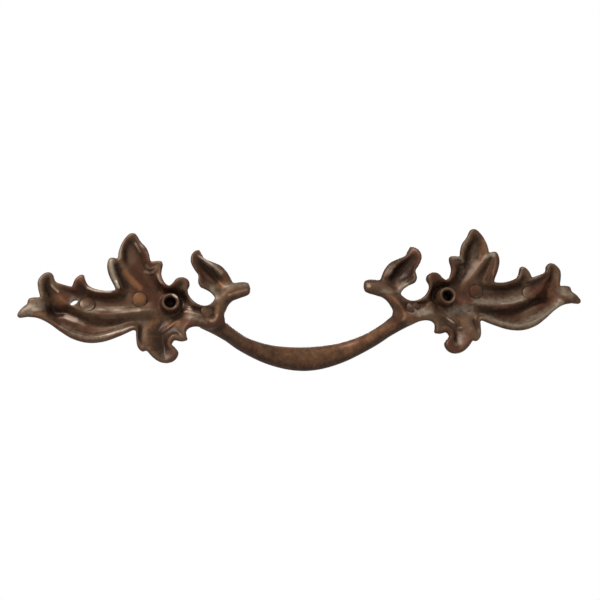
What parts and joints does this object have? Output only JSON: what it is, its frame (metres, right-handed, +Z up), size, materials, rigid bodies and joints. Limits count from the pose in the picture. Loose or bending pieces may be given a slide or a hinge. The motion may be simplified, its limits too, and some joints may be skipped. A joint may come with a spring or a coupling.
{
  "type": "drawer pull handle",
  "caption": "Cast drawer pull with two leafy end plates, a screw boss behind each, and a drooping grip between them.",
  "frame": {"origin": "on the drawer front, midway between the two screw bosses", "axes": "+X along the handle, +Z up, front faces -Y, the back bears on the drawer front at Y = 0"},
  "size_m": [0.2066, 0.0253, 0.0492],
  "materials": {
    "aged_copper": "antiqued copper plating, dark brown in the hollows and rubbed bright on the ridges"
  },
  "bodies": {
    "root": {"handle_casting": "aged_copper"}
  },
  "joints": []
}
